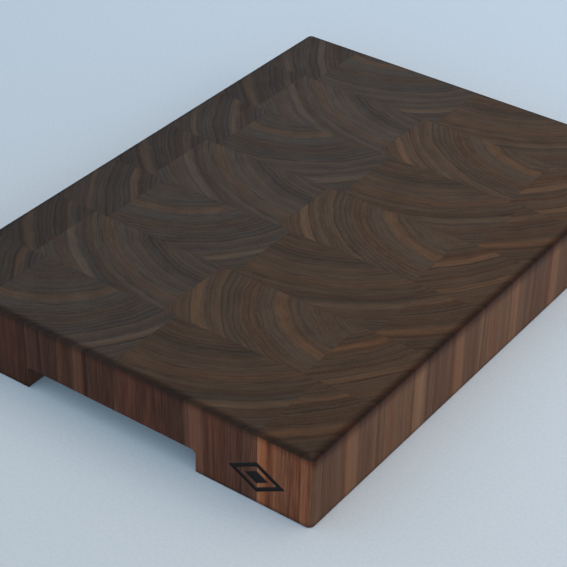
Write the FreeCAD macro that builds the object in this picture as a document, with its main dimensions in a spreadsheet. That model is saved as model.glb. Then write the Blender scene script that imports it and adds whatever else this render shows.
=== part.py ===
"""Walnut end-grain cutting board: rows of blocks glued up, then rounded over and routed (millimetres).

The frame stands at the middle of the underside: X across the board, Y along it, Z up.
The front end, which carries the burned mark, faces -Y, and row 1 is the row at that end.
"""

import FreeCAD
import Part
import Sketcher
import math
import os

# Driving dimensions in millimetres, apart from row_count.
SIZES = {
    "board_width": 285,
    "board_thickness": 50,
    "row_pitch": 57,
    "row_count": 7,
    # Stave widths from left to right in the odd rows; the right stave takes what is left.
    "left_stave": 45.5,
    "mid_left_stave": 101.3,
    "mid_right_stave": 101.5,
    # The even rows are turned end for end, and sit this much to the left before the sides are trimmed.
    "flip_shift": 1.4,
    "glue_line": 0.15,
    "corner_round": 4,
    "top_round": 3.2,
    "base_round": 1.2,
    # Finger recess under each end.
    "recess_length": 126.5,
    "recess_height": 15.7,
    "recess_depth": 28,
    "recess_corner": 9.5,
    "recess_cove": 3,
    "recess_overrun": 6,
    # Burned diamond on the front end: a ring around a smaller solid diamond.
    "mark_across": 105.5,
    "mark_up": 18.8,
    "mark_half_width": 19,
    "mark_half_height": 10.4,
    "mark_ring": 0.74,
    "mark_centre": 0.4,
    "mark_depth": 0.4,
}
BLOCK_NAMES = ("left", "mid_left", "mid_right", "right")
TOLERANCE = 0.01

# Expressions for the board's limits.
RIGHT_SIDE = "Sizes.board_width / 2"
LEFT_SIDE = "-Sizes.board_width / 2"
BOARD_LENGTH = "Sizes.row_count * Sizes.row_pitch"
FRONT_END = f"-{BOARD_LENGTH} / 2"


def make_sheet(doc):
    """The spreadsheet that holds every driving dimension under its own alias."""
    sheet = doc.addObject("Spreadsheet::Sheet", "Sizes")
    for line, (alias, value) in enumerate(SIZES.items(), start=1):
        sheet.set(f"A{line}", alias)
        sheet.set(f"B{line}", str(value))
        sheet.setAlias(f"B{line}", alias)
    doc.recompute()
    return sheet


def origin_plane(body, role):
    """One of the body's own origin planes."""
    return next(feature for feature in body.Origin.OriginFeatures if feature.Role == role)


def add_sketch(body, name, role):
    """A sketch on one of the body's origin planes."""
    sketch = body.newObject("Sketcher::SketchObject", name)
    sketch.AttachmentSupport = [(origin_plane(body, role), "")]
    sketch.MapMode = "FlatFace"
    return sketch


def add_polygon(sketch, corners):
    """A closed outline through corners given as pairs of expressions, counter-clockwise.

    Its lines start on a small regular polygon, and the constraints take each corner to its place.
    """
    count = len(corners)
    angles = [math.radians(225 + 360 * index / count) for index in range(count)]
    points = [FreeCAD.Vector(math.cos(angle), math.sin(angle), 0) for angle in angles]
    first = sketch.GeometryCount
    for index in range(count):
        sketch.addGeometry(Part.LineSegment(points[index], points[(index + 1) % count]), False)
    for index in range(count):
        line = first + index
        following = first + (index + 1) % count
        sketch.addConstraint(Sketcher.Constraint("Coincident", line, 2, following, 1))
    for index, corner in enumerate(corners):
        for kind, size in zip(("DistanceX", "DistanceY"), corner):
            place = getattr(points[index], kind[-1].lower())
            number = sketch.addConstraint(Sketcher.Constraint(kind, -1, 1, first + index, 1, place))
            sketch.setExpression(f"Constraints[{number}]", size)


def add_rectangle(sketch, left, right, low, high):
    """A rectangle between four expressions."""
    add_polygon(sketch, [(left, low), (right, low), (right, high), (left, high)])


def add_diamond(sketch, share):
    """A diamond about the mark's centre, at a share of its full size."""
    across, up = "Sizes.mark_across", "Sizes.mark_up"
    half_width = f"Sizes.mark_half_width * {share}"
    half_height = f"Sizes.mark_half_height * {share}"
    corners = [
        (across, f"{up} - {half_height}"),
        (f"{across} + {half_width}", up),
        (across, f"{up} + {half_height}"),
        (f"{across} - {half_width}", up),
    ]
    add_polygon(sketch, corners)


def add_round(body, name, size, chosen):
    """A fillet on every edge of the body that the chosen test picks."""
    base = body.Tip
    edges = enumerate(base.Shape.Edges, start=1)
    names = [f"Edge{number}" for number, edge in edges if chosen(edge.BoundBox)]
    fillet = body.newObject("PartDesign::Fillet", name)
    fillet.Base = (base, names)
    fillet.setExpression("Radius", f"Sizes.{size}")
    body.Document.recompute()


def add_pocket(body, name, sketch, depth, upwards):
    """A pocket into the body that must take material away."""
    before = body.Shape.Volume
    pocket = body.newObject("PartDesign::Pocket", name)
    pocket.Profile = sketch
    pocket.setExpression("Length", f"Sizes.{depth}")
    pocket.Reversed = upwards
    body.Document.recompute()
    if body.Shape.Volume > before - 1:
        raise RuntimeError(f"{name} cuts nothing")


def make_finished_board(doc, sheet):
    """The whole board's outer shape, which every block and glue line is cut to."""
    body = doc.addObject("PartDesign::Body", "finished_board")
    outline = add_sketch(body, "board_outline", "XY_Plane")
    add_rectangle(outline, LEFT_SIDE, RIGHT_SIDE, FRONT_END, f"{BOARD_LENGTH} / 2")
    slab = body.newObject("PartDesign::Pad", "board_slab")
    slab.Profile = outline
    slab.setExpression("Length", "Sizes.board_thickness")
    doc.recompute()
    add_round(body, "corner_rounds", "corner_round", lambda box: box.ZLength > 1)
    top = sheet.board_thickness - TOLERANCE
    add_round(body, "top_round_over", "top_round", lambda box: box.ZMin > top)
    cut_recesses(body, sheet)
    add_round(body, "base_ease", "base_round", lambda box: box.ZMax < TOLERANCE)
    cut_mark(body)
    return body


def cut_recesses(body, sheet):
    """The finger recess under each end: routed upwards from the underside, open at the end face."""
    outline = add_sketch(body, "recess_outline", "XY_Plane")
    half = "Sizes.recess_length / 2"
    inner = f"({BOARD_LENGTH} / 2 - Sizes.recess_depth)"
    outer = f"({BOARD_LENGTH} / 2 + Sizes.recess_overrun)"
    add_rectangle(outline, f"-{half}", half, f"-{outer}", f"-{inner}")
    add_rectangle(outline, f"-{half}", half, inner, outer)
    add_pocket(body, "finger_recesses", outline, "recess_height", True)

    half_length = sheet.row_count * sheet.row_pitch / 2
    inner_wall = half_length - sheet.recess_depth + TOLERANCE
    ceiling = sheet.recess_height

    def inner_corner(box):
        return box.ZLength > ceiling - TOLERANCE and -inner_wall < box.YMin and box.YMax < inner_wall

    def ceiling_edge(box):
        level = abs(box.ZMin - ceiling) < TOLERANCE and abs(box.ZMax - ceiling) < TOLERANCE
        on_end_face = min(abs(box.YMin), abs(box.YMax)) > half_length - TOLERANCE
        return level and not on_end_face

    add_round(body, "recess_corners", "recess_corner", inner_corner)
    add_round(body, "recess_coves", "recess_cove", ceiling_edge)


def cut_mark(body):
    """The burned mark, sunk into the front end face."""
    outline = add_sketch(body, "mark_outline", "XZ_Plane")
    outline.setExpression("AttachmentOffset.Base.z", f"{BOARD_LENGTH} / 2")
    for share in ("1", "Sizes.mark_ring", "Sizes.mark_centre"):
        add_diamond(outline, share)
    add_pocket(body, "burned_mark", outline, "mark_depth", False)


def add_box(doc, name, limits):
    """A box between three pairs of expressions, for X, Y and Z."""
    box = doc.addObject("Part::Box", name)
    for axis, side, (low, high) in zip("xyz", ("Length", "Width", "Height"), limits):
        box.setExpression(side, f"({high}) - ({low})")
        box.setExpression(f"Placement.Base.{axis}", low)
    return box


def cut_to_board(doc, name, stock, board):
    """The part of the stock that lies within the finished board, as a sub-part of its own."""
    piece = doc.addObject("Part::Common", name)
    piece.Label = name
    piece.Base = stock
    piece.Tool = board
    return piece


def joint_lines(row):
    """Expressions for the X of the three joints between a row's staves, from left to right."""
    if row % 2:
        first = f"{LEFT_SIDE} + Sizes.left_stave"
        second = f"{first} + Sizes.mid_left_stave"
        return [first, second, f"{second} + Sizes.mid_right_stave"]
    return [f"-({line}) - Sizes.flip_shift" for line in reversed(joint_lines(row + 1))]


def row_line(row):
    """Expression for the Y of the joint behind a row; row 0 gives the front end."""
    return f"{FRONT_END} + {row} * Sizes.row_pitch"


def either_side(line):
    """The two faces of the glue in a joint."""
    return f"{line} - Sizes.glue_line / 2", f"{line} + Sizes.glue_line / 2"


def row_limits(row):
    """The Y limits of a row's blocks, which stop short of the glue in front and behind."""
    front = row_line(0) if row == 1 else either_side(row_line(row - 1))[1]
    back = row_line(row) if row == SIZES["row_count"] else either_side(row_line(row))[0]
    return front, back


def make_row(doc, board, row):
    """One row of four end-grain blocks and the glue between them."""
    lines = [either_side(line) for line in joint_lines(row)]
    starts = [LEFT_SIDE] + [line[1] for line in lines]
    stops = [line[0] for line in lines] + [RIGHT_SIDE]
    depth, height = row_limits(row), ("0", "Sizes.board_thickness")
    pieces = []
    for block, start, stop in zip(BLOCK_NAMES, starts, stops):
        name = f"row{row}_block_{block}"
        stock = add_box(doc, f"{name}_stock", [(start, stop), depth, height])
        pieces.append(cut_to_board(doc, name, stock, board))
    films = doc.addObject("Part::Compound", f"row{row}_glue_stock")
    films.Links = [
        add_box(doc, f"row{row}_glue_{number}", [line, depth, height])
        for number, line in enumerate(lines, start=1)
    ]
    pieces.append(cut_to_board(doc, f"row{row}_stave_glue", films, board))
    return pieces


def make_row_glue(doc, board, row):
    """The glue between a row and the one behind it, right across the board."""
    name = f"glue_row{row}_to_row{row + 1}"
    limits = [(LEFT_SIDE, RIGHT_SIDE), either_side(row_line(row)), ("0", "Sizes.board_thickness")]
    return cut_to_board(doc, name, add_box(doc, f"{name}_stock", limits), board)


def check(doc, pieces):
    """Stop if any object failed, or a sub-part isn't sound solids."""
    for item in doc.Objects:
        if "Invalid" in item.State or "Error" in item.State:
            raise RuntimeError(f"{item.Label} failed: {item.State}")
    for piece in pieces:
        shape = piece.Shape
        if shape.isNull() or not shape.isValid() or not shape.Solids:
            raise RuntimeError(f"{piece.Label} isn't a sound solid")


def write(pieces):
    """Each sub-part as a STEP file under its own label."""
    os.makedirs("parts", exist_ok=True)
    for piece in pieces:
        piece.Shape.exportStep(f"parts/{piece.Label}.step")


def main():
    doc = FreeCAD.newDocument("cutting_board")
    sheet = make_sheet(doc)
    board = make_finished_board(doc, sheet)
    pieces = []
    for row in range(1, SIZES["row_count"] + 1):
        pieces += make_row(doc, board, row)
    for row in range(1, SIZES["row_count"]):
        pieces.append(make_row_glue(doc, board, row))
    doc.recompute()
    check(doc, pieces)
    write(pieces)
    volume = sum(piece.Shape.Volume for piece in pieces)
    print(f"{len(pieces)} sub-parts, {volume:.0f} mm3 of {board.Shape.Volume:.0f} mm3")


main()
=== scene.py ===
"""Looks of the end-grain walnut cutting board: oiled walnut on a pale floor in soft light (metres)."""
import bpy
import math
from mathutils import Matrix, Vector


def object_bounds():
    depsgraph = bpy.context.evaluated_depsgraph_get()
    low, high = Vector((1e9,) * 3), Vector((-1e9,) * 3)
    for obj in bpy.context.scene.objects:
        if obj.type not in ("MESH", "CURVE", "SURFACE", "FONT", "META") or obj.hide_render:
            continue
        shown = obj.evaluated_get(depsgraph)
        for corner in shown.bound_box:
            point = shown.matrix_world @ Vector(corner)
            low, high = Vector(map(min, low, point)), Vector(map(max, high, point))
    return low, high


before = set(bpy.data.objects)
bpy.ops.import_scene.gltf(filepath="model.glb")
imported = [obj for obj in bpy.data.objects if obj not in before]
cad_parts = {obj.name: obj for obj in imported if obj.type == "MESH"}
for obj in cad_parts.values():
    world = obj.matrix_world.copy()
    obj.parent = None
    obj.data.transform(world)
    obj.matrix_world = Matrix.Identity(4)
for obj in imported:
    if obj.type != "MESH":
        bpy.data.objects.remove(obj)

cad_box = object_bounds()

MM = 0.001
ROWS = 7
BLOCK_NAMES = ("left", "mid_left", "mid_right", "right")
LOW, HIGH = (Vector(corner) for corner in cad_box)
ROW_PITCH = (HIGH.y - LOW.y) / ROWS
THICKNESS = HIGH.z - LOW.z


# ---------------------------------------------------------------- node trees

class Graph:
    """Adds nodes to a tree. Each call takes numbers or sockets, and returns the new node's output."""

    def __init__(self, tree):
        self.tree = tree

    def node(self, kind, inputs=None, output=0, **settings):
        made = self.tree.nodes.new(kind)
        for name, value in settings.items():
            setattr(made, name, value)
        for key, value in (inputs or {}).items():
            socket = made.inputs[key]
            if isinstance(value, bpy.types.NodeSocket):
                self.tree.links.new(value, socket)
            else:
                socket.default_value = value
        return made.outputs[output]

    def math(self, operation, *values, clamp=False):
        inputs = dict(enumerate(values))
        return self.node("ShaderNodeMath", inputs, operation=operation, use_clamp=clamp)

    def add(self, a, b):
        return self.math("ADD", a, b)

    def subtract(self, a, b):
        return self.math("SUBTRACT", a, b)

    def multiply(self, a, b):
        return self.math("MULTIPLY", a, b)

    def multiply_add(self, a, b, c):
        return self.math("MULTIPLY_ADD", a, b, c)

    def size(self, value):
        """The value without its sign."""
        return self.math("ABSOLUTE", value)

    def swing(self, noise):
        """A noise that runs from 0 to 1, moved to lie about 0."""
        return self.subtract(noise, 0.5)

    def vector(self, x, y, z):
        return self.node("ShaderNodeCombineXYZ", {0: x, 1: y, 2: z})

    def parts(self, vector):
        split = self.tree.nodes.new("ShaderNodeSeparateXYZ")
        self.tree.links.new(vector, split.inputs[0])
        return split.outputs[0], split.outputs[1], split.outputs[2]

    def ease(self, value, low, high, start=0.0, stop=1.0):
        """start below low, stop above high, and a smooth step between."""
        inputs = {"Value": value, "From Min": low, "From Max": high, "To Min": start, "To Max": stop}
        return self.node("ShaderNodeMapRange", inputs, interpolation_type="SMOOTHSTEP")

    def noise(self, vector, scale, detail=2.0, roughness=0.5):
        inputs = {"Vector": vector, "Scale": scale, "Detail": detail, "Roughness": roughness}
        return self.node("ShaderNodeTexNoise", inputs, noise_dimensions="3D")

    def noise_line(self, value, scale, detail=2.0):
        inputs = {"W": value, "Scale": scale, "Detail": detail}
        return self.node("ShaderNodeTexNoise", inputs, noise_dimensions="1D")

    def ramp(self, factor, stops):
        """A colour ramp through (position, colour) stops."""
        made = self.tree.nodes.new("ShaderNodeValToRGB")
        ramp = made.color_ramp
        while len(ramp.elements) < len(stops):
            ramp.elements.new(0.5)
        for element, (position, colour) in zip(ramp.elements, stops):
            element.position = position
            element.color = (*colour, 1)
        self.tree.links.new(factor, made.inputs[0])
        return made.outputs[0]

    def mix(self, factor, a, b, blend="MIX"):
        made = self.tree.nodes.new("ShaderNodeMix")
        made.data_type = "RGBA"
        made.blend_type = blend
        for socket, value in zip((made.inputs[0], made.inputs[6], made.inputs[7]), (factor, a, b)):
            if isinstance(value, bpy.types.NodeSocket):
                self.tree.links.new(value, socket)
            else:
                socket.default_value = value if isinstance(value, float) else (*value, 1)
        return made.outputs[2]


# ---------------------------------------------------------------- walnut

# Each stave's growth rings are arcs about a centre beyond the row, and some rings are paler bands.
# Places are in millimetres in an odd row at the front: across from the board's middle, and back from
# the row's middle. Each band is (radius, drift, half width, strength); drifts are per row towards the back.
# The end tones are how pale the end grain is: as the stave lies, and turned end for end.
# Each stave's front tint also holds painted light: it is warmed to stand in for warm light on the front
# faces.
STAVES = {
    "left": {
        "centre": (20, 97), "centre_drift": (0, 0),
        "bands": [(150.2, 2.28, 2.5, 0.90), (179, 1.6, 2.1, 0.60)],
        "end_tones": (1.05, 1.20),
        "front_tint_and_light": (0.40, 0.29, 0.25), "side_tint": (0.92, 0.74, 0.56),
    },
    "mid_left": {
        "centre": (-101.5, 47.6), "centre_drift": (2.28, 5.4),
        "bands": [(110.5, 2.6, 2.4, 0.80), (63, 0, 4.0, 0.45)],
        "end_tones": (1.25, 1.35),
        "front_tint_and_light": (0.38, 0.22, 0.155), "side_tint": (0.60, 0.50, 0.44),
    },
    "mid_right": {
        "centre": (4.3, 95.5), "centre_drift": (0, 0),
        "bands": [(136.8, -1.14, 2.7, 0.70), (116, 0, 8.0, 0.25)],
        "end_tones": (1.15, 1.30),
        "front_tint_and_light": (0.57, 0.335, 0.25), "side_tint": (0.60, 0.50, 0.44),
    },
    "right": {
        "centre": (-14.25, 122.6), "centre_drift": (0, 0),
        "bands": [(167.6, -0.5, 2.5, 0.80), (193.8, 0, 3.0, 0.75)],
        "end_tones": (1.05, 0.90),
        "front_tint_and_light": (1.10, 0.60, 0.36), "side_tint": (0.77, 0.61, 0.465),
    },
}
BANDS = (1, 2)
# Painted light on the end grain: a cool painted sheen on the left of the board, turning to warmer painted
# light on the right.
COLUMN_SHEEN_TINTS = {
    "left": (0.92, 1.0, 1.15),
    "mid_left": (0.92, 1.0, 1.10),
    "mid_right": (1.08, 1.0, 0.92),
    "right": (1.18, 1.0, 0.84),
}
# Painted light: it is also painted slightly paler and bluer from the front row to the back one (red, green
# and blue, per row), standing in for light and sheen that are stronger at the back.
ROW_PAINTED_LIGHT = (0.032, 0.038, 0.046)
MIDDLE_ROW = (ROWS + 1) / 2

# In millimetres: how far left the turned rows sit, how much further along the staves each row was cut,
# a growth ring's usual width, and how far the rings waver and ripple.
TURNED_SHIFT = 1.4
SLICE = 53.0
RING_SPACING = 3.3
WAVER, RIPPLE = 5.0, 1.8
# How far the rings' widths vary, in rings, and how far apart the seeds put the staves' noise.
UNEVEN_RINGS = 2.2
SEED_STEP = 71.0
# How fast each pattern changes along the stave, where 1 is as fast as across it.
RINGS_ALONG, FIBRES_ALONG, PORES_ALONG = 0.15, 0.03, 0.045
# How fast the flow changes across the rings and round them, per millimetre.
FLOW_ACROSS, FLOW_ROUND = 0.42, 0.045
# Where in a ring the dark latewood comes and goes, and how large the pores are early and late in it.
LATEWOOD_COMES, LATEWOOD_GOES = (0.40, 0.88), (0.90, 1.0)
EARLY_PORE, LATE_PORE = 0.20, 0.09
# A pale band, in half widths out from its radius: where it comes and goes, and its dark edge's place
# and fade. Its usual strength, and how much the flow makes it patchy.
BAND_COMES, BAND_GOES = (-1.6, -0.4), (0.65, 1.15)
BAND_EDGE_AT, BAND_EDGE_FADE = 1.4, (0.05, 0.5)
BAND_LEVEL, BAND_PATCHES = 0.95, 2.2
# How far a face has to turn upwards to show end grain, and sideways to count as a side of the board.
FACING_UP, FACING_SIDEWAYS = (0.04, 0.35), (0.3, 0.95)

# What each layer adds to the tone of the end grain and of the long grain. Tone 0 is dark and 1 is pale.
MIDDLE_TONE = 0.50
LAYER_TONES = {
    "own_tone": (0.16, 0.16),
    "broad": (0.24, 0.24),
    "flow": (0.55, 0.55),
    "mottle": (0.35, 0.35),
    "bands": (0.22, 0.22),
    "lines": (0.33, 0.18),
    "latewood": (-0.17, -0.08),
    "band_edges": (-0.12, -0.14),
    "fibres": (1.15, 0.95),
    "pores": (-0.12, -0.10),
}
FRONT_CONTRAST, SIDE_CONTRAST = 1.65, 0.85

# Colours by tone on the end grain, and on the long grain before its stave's tint.
END_STOPS = [
    (0.0, (0.0200, 0.0118, 0.0066)),
    (0.35, (0.0450, 0.0280, 0.0178)),
    (0.65, (0.0650, 0.0412, 0.0262)),
    (1.0, (0.0930, 0.0575, 0.0375)),
]
SIDE_STOPS = [
    (0.0, (0.058, 0.027, 0.0145)),
    (0.35, (0.126, 0.065, 0.042)),
    (0.65, (0.187, 0.108, 0.073)),
    (1.0, (0.260, 0.165, 0.119)),
]
# A slow drift from cool to warm, and the colours that the pale bands turn the grain towards.
HUE_STOPS = [(0.25, (0.93, 1.0, 1.07)), (0.50, (1.0, 1.0, 1.0)), (0.75, (1.10, 0.98, 0.89))]
END_BAND, END_BAND_SHARE = (0.128, 0.066, 0.031), 0.30
SIDE_BAND, SIDE_BAND_SHARE = (0.320, 0.185, 0.105), 0.50

# Oil soaked into the end grain darkens the round-overs, in from a side and down from the top edge. Further
# down the sides the darkening is painted shade, deeper than on the front, and a painted contact shadow
# rises from the base. A fade is the depths below the top face where the darkening has gone and where it is
# full.
# The colour the edges are multiplied towards: oil-dark end grain and painted shade.
OIL_AND_SHADE_EDGE = (0.31, 0.18, 0.10)
EDGE_INWARD, EDGE_FULL = 5 * MM, 0.3 * MM
FRONT_FADE, SIDE_FADE = (8 * MM, -1 * MM), (11.5 * MM, 1.5 * MM)
# A painted contact shadow along the base of the sides.
FOOT_SHADE_FULL, FOOT_SHADE_RISE, FOOT_SHADE_STRENGTH = 0.6 * MM, 4 * MM, 0.6

# Oiled wood is satin: roughness where the grain is dark and where it is pale, and the relief's height.
DARK_ROUGHNESS, PALE_ROUGHNESS = 0.56, 0.50
WOOD_SPECULAR = 0.12
RELIEF, RELIEF_STRENGTH = 0.2 * MM, 0.25

# The burned diamond on the front end: a ring round a smaller solid diamond, as shares of its full size.
MARK_ACROSS, MARK_UP = 105.5 * MM, 18.8 * MM
MARK_HALF_WIDTH, MARK_HALF_HEIGHT = 19 * MM, 10.4 * MM
MARK_RING, MARK_CENTRE = 0.74, 0.40
MARK_REACH = 1.2 * MM
CHAR, CHAR_EDGE = (0.009, 0.0065, 0.0055), (-0.01, 0.015)
SCORCH, SCORCH_EDGE = (0.050, 0.026, 0.016), (0.0, 0.09)
SCORCH_STRENGTH = 0.75
MARKED = ("row1_block_mid_right", "row1_block_right", "row1_stave_glue")

GLUE_STOPS = [(0.3, (0.010, 0.006, 0.004)), (0.7, (0.028, 0.017, 0.011))]
GLUE_ROUGHNESS, GLUE_SPECULAR = 0.5, 0.25


def stave_place(graph, given, coordinates):
    """Place in the stave in millimetres: across and back as in an odd row, and along the stave."""
    x, y, z = coordinates
    across = graph.multiply(graph.multiply_add(x, 1 / MM, given["Shift"]), given["Flip"])
    back = graph.subtract(graph.multiply(y, 1 / MM), given["Row middle"])
    height = graph.multiply(graph.multiply_add(z, 1 / MM, -0.5 * THICKNESS / MM), given["Flip"])
    return across, back, graph.multiply_add(given["Slice"], SLICE, height)


def ring_place(graph, given, across, back, wood):
    """Distance from the rings' centre with its waver, and distance round the arc, in millimetres."""
    from_x = graph.subtract(across, given["Centre X"])
    from_y = graph.subtract(back, given["Centre Y"])
    flat = graph.vector(from_x, from_y, 0.0)
    radius = graph.node("ShaderNodeVectorMath", {0: flat}, output="Value", operation="LENGTH")
    turn = graph.math("ARCTAN2", from_x, graph.multiply(from_y, -1.0))
    arc = graph.multiply(turn, given["Band 1 radius"])
    waver = graph.swing(graph.noise(wood, scale=0.028, detail=1.0))
    ripple = graph.swing(graph.noise(wood, scale=0.10, detail=1.0))
    radius = graph.multiply_add(waver, WAVER, radius)
    return graph.multiply_add(ripple, RIPPLE, radius), arc


def ring_layers(graph, radius, arc, wood, seed):
    """Layers that follow the rings, the place in a ring from 0 inside to 1 outside, and the hue."""
    seeded = graph.add(radius, seed)
    uneven = graph.multiply(graph.noise_line(seeded, scale=0.13, detail=1.0), UNEVEN_RINGS)
    rings = graph.multiply_add(radius, 1 / RING_SPACING, uneven)
    in_ring = graph.math("FRACT", rings)
    ring_number = graph.add(graph.math("FLOOR", rings), seed)
    own_tone = graph.node("ShaderNodeTexWhiteNoise", {"W": ring_number}, noise_dimensions="1D")
    flow_place = graph.vector(graph.multiply(radius, FLOW_ACROSS), graph.multiply(arc, FLOW_ROUND), seed)
    latewood = graph.subtract(graph.ease(in_ring, *LATEWOOD_COMES), graph.ease(in_ring, *LATEWOOD_GOES))
    layers = {
        "own_tone": graph.swing(own_tone),
        "broad": graph.swing(graph.noise_line(seeded, scale=0.055, detail=1.0)),
        "flow": graph.swing(graph.noise(flow_place, scale=1.0, detail=3.0, roughness=0.6)),
        "mottle": graph.swing(graph.noise(wood, scale=0.05, detail=3.0, roughness=0.6)),
        "lines": graph.swing(graph.noise_line(seeded, scale=0.80, detail=2.0)),
        "latewood": latewood,
    }
    hue = graph.noise_line(graph.add(seeded, 19.0), scale=0.09, detail=1.0)
    return layers, in_ring, hue


def band_layers(graph, given, radius, flow):
    """Pale bands: sharp and dark-edged on the outside, soft on the inside, and patchy along the arc."""
    bands, edges = 0.0, 0.0
    patchy = graph.multiply_add(flow, BAND_PATCHES, BAND_LEVEL)
    for n in BANDS:
        strength = given[f"Band {n} strength"]
        offset = graph.subtract(radius, given[f"Band {n} radius"])
        share = graph.math("DIVIDE", offset, given[f"Band {n} width"])
        inside = graph.multiply(graph.ease(share, *BAND_COMES), graph.ease(share, *BAND_GOES, 1.0, 0.0))
        gap = graph.size(graph.subtract(share, BAND_EDGE_AT))
        bands = graph.math("MULTIPLY_ADD", graph.multiply(inside, patchy), strength, bands, clamp=True)
        edges = graph.multiply_add(graph.ease(gap, *BAND_EDGE_FADE, 1.0, 0.0), strength, edges)
    return {"bands": bands, "band_edges": edges}


def fibre_layers(graph, across, back, along, in_ring, seed):
    """Fibres and pores, which run along the stave. The pores are largest at the start of a ring."""
    fibre_place = graph.vector(across, back, graph.multiply_add(along, FIBRES_ALONG, seed))
    pore_place = graph.vector(across, back, graph.multiply(along, PORES_ALONG))
    inputs = {"Vector": pore_place, "Scale": 1.25, "Randomness": 1.0}
    from_pore = graph.node("ShaderNodeTexVoronoi", inputs, output="Distance")
    pore_radius = graph.ease(in_ring, 0.0, 0.8, EARLY_PORE, LATE_PORE)
    return {
        "fibres": graph.swing(graph.noise(fibre_place, scale=1.5, detail=4.0, roughness=0.7)),
        "pores": graph.math("LESS_THAN", from_pore, pore_radius),
    }


def tone(graph, layers, face):
    """The layers' tone on the end grain (face 0) or the long grain (face 1)."""
    total = MIDDLE_TONE
    for name, amounts in LAYER_TONES.items():
        total = graph.multiply_add(layers[name], amounts[face], total)
    return total


def oil_and_shade_edge(graph, coordinates, sideways):
    """How much the edges are darkened, from 0 to 1: oil in the round-overs, painted shade down the sides,
    and a painted contact shadow at the base.
    """
    x, y, z = coordinates
    off_side = graph.subtract(graph.size(x), HIGH.x)
    off_end = graph.subtract(graph.size(y), HIGH.y)
    inward = graph.ease(graph.math("MAXIMUM", off_side, off_end), -EDGE_INWARD, -EDGE_FULL)
    gone, full = (
        graph.multiply_add(sideways, front - side, HIGH.z - front)
        for front, side in zip(FRONT_FADE, SIDE_FADE)
    )
    downward = graph.ease(z, gone, full)
    # Painted contact shadow rising from the base.
    foot_shade = graph.ease(z, LOW.z + FOOT_SHADE_FULL, LOW.z + FOOT_SHADE_RISE, FOOT_SHADE_STRENGTH, 0.0)
    return graph.multiply(inward, graph.math("MAXIMUM", downward, foot_shade))


def make_grain_group():
    """Walnut that a block is cut from: rings about a centre line, with pores and fibres along Z."""
    tree = bpy.data.node_groups.new("walnut_grain", "ShaderNodeTree")
    numbers = ["Flip", "Shift", "Row middle", "Slice", "Centre X", "Centre Y", "Seed"]
    numbers += [f"Band {n} {what}" for n in BANDS for what in ("radius", "width", "strength")]
    for name in numbers:
        tree.interface.new_socket(name, in_out="INPUT", socket_type="NodeSocketFloat")
    for name in ("End tone", "Side tone", "Band", "Hue", "End grain", "Sideways", "Edge", "Height"):
        tree.interface.new_socket(name, in_out="OUTPUT", socket_type="NodeSocketFloat")
    given = tree.nodes.new("NodeGroupInput").outputs

    graph = Graph(tree)
    coordinates = graph.parts(graph.node("ShaderNodeTexCoord", output="Object"))
    across, back, along = stave_place(graph, given, coordinates)
    seed = graph.multiply(given["Seed"], SEED_STEP)
    wood = graph.vector(across, back, graph.multiply_add(along, RINGS_ALONG, seed))
    radius, arc = ring_place(graph, given, across, back, wood)
    layers, in_ring, hue = ring_layers(graph, radius, arc, wood, seed)
    layers |= band_layers(graph, given, radius, layers["flow"])
    layers |= fibre_layers(graph, across, back, along, in_ring, seed)

    normal_x, _, normal_z = graph.parts(graph.node("ShaderNodeNewGeometry", output="Normal"))
    sideways = graph.ease(graph.size(normal_x), *FACING_SIDEWAYS)
    contrast = graph.multiply_add(sideways, SIDE_CONTRAST - FRONT_CONTRAST, FRONT_CONTRAST)
    off_middle = graph.subtract(tone(graph, layers, 1), MIDDLE_TONE)
    relief = graph.multiply_add(layers["pores"], -1.0, graph.multiply(layers["latewood"], 0.35))
    made = {
        "End tone": tone(graph, layers, 0),
        "Side tone": graph.multiply_add(off_middle, contrast, MIDDLE_TONE),
        "Band": layers["bands"],
        "Hue": hue,
        "End grain": graph.ease(graph.size(normal_z), *FACING_UP),
        "Sideways": sideways,
        "Edge": oil_and_shade_edge(graph, coordinates, sideways),
        "Height": graph.multiply_add(layers["fibres"], 0.5, relief),
    }
    result = tree.nodes.new("NodeGroupOutput").inputs
    for name, value in made.items():
        tree.links.new(value, result[name])
    return tree


def burned(graph, colour):
    """Chars the colour inside the sunk mark on the front face, and scorches it just round the mark."""
    x, y, z = graph.parts(graph.node("ShaderNodeTexCoord", output="Object"))
    across = graph.multiply(graph.size(graph.subtract(x, MARK_ACROSS)), 1 / MARK_HALF_WIDTH)
    up = graph.multiply(graph.size(graph.subtract(z, MARK_UP)), 1 / MARK_HALF_HEIGHT)
    reach = graph.add(across, up)
    ring_middle, ring_half = (1 + MARK_RING) / 2, (1 - MARK_RING) / 2
    off_ring = graph.subtract(graph.size(graph.subtract(reach, ring_middle)), ring_half)
    off_centre = graph.subtract(reach, MARK_CENTRE)
    outside = graph.math("MINIMUM", off_ring, off_centre)
    near_front = graph.math("LESS_THAN", y, LOW.y + MARK_REACH)
    scorch = graph.multiply(graph.ease(outside, *SCORCH_EDGE, SCORCH_STRENGTH, 0.0), near_front)
    char = graph.multiply(graph.ease(outside, *CHAR_EDGE, 1.0, 0.0), near_front)
    return graph.mix(char, graph.mix(scorch, colour, SCORCH), CHAR)


def block_stave(row, block):
    """The stave that a block was cut from, and whether its row is turned end for end."""
    turned = row % 2 == 0
    column = BLOCK_NAMES.index(block)
    return BLOCK_NAMES[-1 - column] if turned else block, turned


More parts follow.
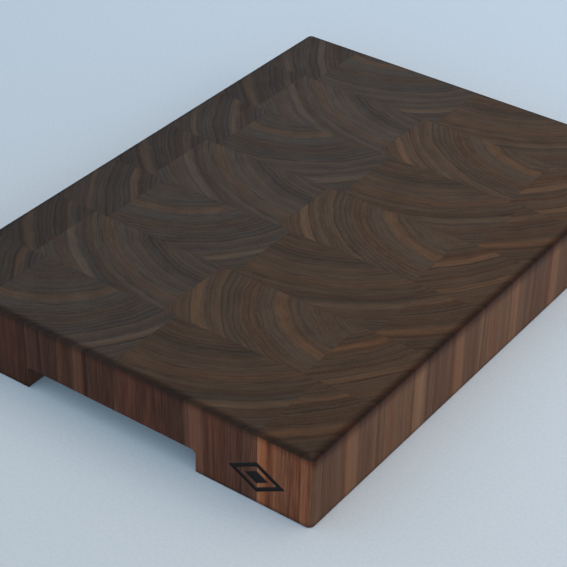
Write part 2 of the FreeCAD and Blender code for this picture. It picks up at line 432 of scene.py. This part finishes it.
def grain_values(row, block):
    """What the grain group needs to know about a block."""
    name, turned = block_stave(row, block)
    stave = STAVES[name]
    back_rows = row - 1
    values = {
        "Flip": -1.0 if turned else 1.0,
        "Shift": TURNED_SHIFT if turned else 0.0,
        "Row middle": (LOW.y + ROW_PITCH * (row - 0.5)) / MM,
        "Slice": float(back_rows),
        "Centre X": stave["centre"][0] + stave["centre_drift"][0] * back_rows,
        "Centre Y": stave["centre"][1] + stave["centre_drift"][1] * back_rows,
        "Seed": float(BLOCK_NAMES.index(name)),
    }
    for n, (radius, drift, width, strength) in zip(BANDS, stave["bands"]):
        values[f"Band {n} radius"] = radius + drift * back_rows
        values[f"Band {n} width"] = width
        values[f"Band {n} strength"] = strength
    return values


def end_tint(row, block):
    """The tint of a block's end grain: its stave's tone, with painted light by its column and its row."""
    name, turned = block_stave(row, block)
    as_it_lies, end_for_end = STAVES[name]["end_tones"]
    stave_tone = end_for_end if turned else as_it_lies
    # Painted light: the row and column tints stand in for light and sheen that change across the top.
    row_lights = [1 + paler * (row - MIDDLE_ROW) for paler in ROW_PAINTED_LIGHT]
    return [stave_tone * tint * row_light for tint, row_light in zip(COLUMN_SHEEN_TINTS[block], row_lights)]


def walnut(node, grain, row, block):
    """The material of one block."""
    material = bpy.data.materials.new(node.replace("block", "walnut"))
    material.use_nodes = True
    graph = Graph(material.node_tree)
    shader = material.node_tree.nodes["Principled BSDF"]
    wood = material.node_tree.nodes.new("ShaderNodeGroup")
    wood.node_tree = grain
    for name, value in grain_values(row, block).items():
        wood.inputs[name].default_value = value
    made = wood.outputs

    stave = STAVES[block_stave(row, block)[0]]
    end_band = graph.multiply(made["Band"], END_BAND_SHARE)
    end = graph.mix(end_band, graph.ramp(made["End tone"], END_STOPS), END_BAND)
    end = graph.mix(1.0, end, end_tint(row, block), "MULTIPLY")
    side_band = graph.multiply(made["Band"], SIDE_BAND_SHARE)
    side = graph.mix(side_band, graph.ramp(made["Side tone"], SIDE_STOPS), SIDE_BAND)
    # The front faces' tint holds painted warm light as well as the wood's own colour.
    side_tint = graph.mix(made["Sideways"], stave["front_tint_and_light"], stave["side_tint"])
    side = graph.mix(1.0, side, side_tint, "MULTIPLY")
    colour = graph.mix(made["End grain"], side, end)
    colour = graph.mix(1.0, colour, graph.ramp(made["Hue"], HUE_STOPS), "MULTIPLY")
    # Oil and painted shade darken the edges, and the band along the base is a painted contact shadow.
    colour = graph.mix(made["Edge"], colour, graph.mix(1.0, colour, OIL_AND_SHADE_EDGE, "MULTIPLY"))
    if node in MARKED:
        colour = burned(graph, colour)
    material.node_tree.links.new(colour, shader.inputs["Base Color"])

    roughness = graph.ease(made["End tone"], 0.1, 0.9, DARK_ROUGHNESS, PALE_ROUGHNESS)
    material.node_tree.links.new(roughness, shader.inputs["Roughness"])
    shader.inputs["Specular IOR Level"].default_value = WOOD_SPECULAR
    inputs = {"Height": made["Height"], "Strength": RELIEF_STRENGTH, "Distance": RELIEF}
    material.node_tree.links.new(graph.node("ShaderNodeBump", inputs), shader.inputs["Normal"])
    return material


def glue_material(name, marked):
    """Cured glue, darkened by oil."""
    material = bpy.data.materials.new(name)
    material.use_nodes = True
    graph = Graph(material.node_tree)
    shader = material.node_tree.nodes["Principled BSDF"]
    coordinates = graph.node("ShaderNodeTexCoord", output="Object")
    colour = graph.ramp(graph.noise(coordinates, scale=400.0), GLUE_STOPS)
    if marked:
        colour = burned(graph, colour)
    material.node_tree.links.new(colour, shader.inputs["Base Color"])
    shader.inputs["Roughness"].default_value = GLUE_ROUGHNESS
    shader.inputs["Specular IOR Level"].default_value = GLUE_SPECULAR
    return material


def dress(node, material):
    """Gives a CAD node the material."""
    piece = bpy.data.objects[node]
    for slot in piece.material_slots:
        slot.material = material
    if not piece.material_slots:
        piece.data.materials.append(material)


def dress_board():
    """Gives every block its own walnut, and every film of glue the dark or the burned glue."""
    grain = make_grain_group()
    glue, marked_glue = glue_material("dark_glue", False), glue_material("burned_glue", True)
    for row in range(1, ROWS + 1):
        for block in BLOCK_NAMES:
            node = f"row{row}_block_{block}"
            dress(node, walnut(node, grain, row, block))
        film = f"row{row}_stave_glue"
        dress(film, marked_glue if film in MARKED else glue)
        if row < ROWS:
            dress(f"glue_row{row}_to_row{row + 1}", glue)


# ---------------------------------------------------------------- studio

# The camera's turn from the front of the board towards its right, its elevation and its tilt in degrees,
# its distance from the point on the top face that it looks at, and its lens and sensor in millimetres.
AZIMUTH, ELEVATION, ROLL = 35.34, 34.80, 1.21
DISTANCE = 1.0796
AIM = Vector((0.0346, -0.0777, HIGH.z))
LENS, SENSOR = 114.42, 36


def add_camera():
    """Looks down on the front right of the board."""
    data = bpy.data.cameras.new("camera")
    data.lens = LENS
    data.sensor_width = SENSOR
    camera = bpy.data.objects.new("camera", data)
    turn = (
        Matrix.Rotation(math.radians(AZIMUTH), 4, "Z")
        @ Matrix.Rotation(math.radians(90 - ELEVATION), 4, "X")
        @ Matrix.Rotation(math.radians(ROLL), 4, "Z")
    )
    camera.matrix_world = Matrix.Translation(AIM + turn.to_3x3() @ Vector((0, 0, DISTANCE))) @ turn
    bpy.context.collection.objects.link(camera)
    bpy.context.scene.camera = camera


# The floor is a pale flecked sheet with painted light: it is painted darker and warmer in front of the
# board than behind it.
FLOOR_SIZE = 8
PAPER_STOPS = [(0.3, (0.66, 0.725, 0.78)), (0.7, (0.71, 0.775, 0.83))]
FRONT_PAPER_SHADE = (0.91, 0.83, 0.75)
FRONT_END, BACK_START = -0.5, 0.6
PAPER_ROUGHNESS = 0.8


def add_floor():
    """A pale flecked sheet, painted darker and warmer towards the front as painted light."""
    bpy.ops.mesh.primitive_plane_add(size=FLOOR_SIZE, location=(0, 0, 0))
    floor = bpy.context.object
    floor.name = "floor"
    material = bpy.data.materials.new("pale_paper")
    material.use_nodes = True
    graph = Graph(material.node_tree)
    shader = material.node_tree.nodes["Principled BSDF"]
    coordinates = graph.node("ShaderNodeTexCoord", output="Object")
    paper = graph.ramp(graph.noise(coordinates, scale=500.0), PAPER_STOPS)
    back = graph.ease(graph.parts(coordinates)[1], FRONT_END, BACK_START)
    # Painted light: the front of the floor is tinted darker and warmer.
    colour = graph.mix(back, graph.mix(1.0, paper, FRONT_PAPER_SHADE, "MULTIPLY"), paper)
    material.node_tree.links.new(colour, shader.inputs["Base Color"])
    shader.inputs["Roughness"].default_value = PAPER_ROUGHNESS
    floor.data.materials.append(material)


# Soft lights round the board: (name, azimuth from +X towards +Y and elevation in degrees, distance,
# width, height, watts, colour).
LIGHTS = [
    ("overhead", 30, 62, 1.5, 1.6, 1.6, 7.0, (1.0, 0.74, 0.46)),
    ("front_window", -62, 18, 4.8, 3.3, 2.4, 88.0, (0.36, 0.68, 1.0)),
    ("right_wall", 5, 30, 1.1, 0.9, 0.6, 1.3, (1.0, 0.84, 0.72)),
]
# The room's own light is brighter overhead and in front of the board than behind it. The two weights
# say how much the front and the overhead count, and the strength eases over their sum.
ROOM_COLOUR = (0.66, 0.82, 1.0)
ROOM_FRONT, ROOM_UP = -0.8, 0.6
ROOM_DIM, ROOM_BRIGHT = 0.32, 0.94
DIM_AT, BRIGHT_AT = -0.9, 1.0


def add_light(name, azimuth, elevation, distance, width, height, power, colour):
    """A soft oblong light that faces the board."""
    data = bpy.data.lights.new(name, "AREA")
    data.shape = "RECTANGLE"
    data.size, data.size_y = width, height
    data.energy = power
    data.color = colour
    light = bpy.data.objects.new(name, data)
    turn = Matrix.Rotation(math.radians(azimuth + 90), 4, "Z") @ Matrix.Rotation(
        math.radians(90 - elevation), 4, "X"
    )
    light.matrix_world = Matrix.Translation(turn.to_3x3() @ Vector((0, 0, distance))) @ turn
    bpy.context.collection.objects.link(light)


def add_lights():
    """The room's own light, and the soft lights in it."""
    world = bpy.data.worlds.new("pale_room")
    bpy.context.scene.world = world
    world.use_nodes = True
    graph = Graph(world.node_tree)
    direction = graph.parts(graph.node("ShaderNodeTexCoord", output="Generated"))
    lean = graph.multiply_add(direction[1], ROOM_FRONT, graph.multiply(direction[2], ROOM_UP))
    room = world.node_tree.nodes["Background"].inputs
    room["Color"].default_value = (*ROOM_COLOUR, 1)
    strength = graph.ease(lean, DIM_AT, BRIGHT_AT, ROOM_DIM, ROOM_BRIGHT)
    world.node_tree.links.new(strength, room["Strength"])
    for light in LIGHTS:
        add_light(*light)


dress_board()
add_camera()
add_floor()
add_lights()
bpy.context.scene.view_settings.view_transform = "Standard"
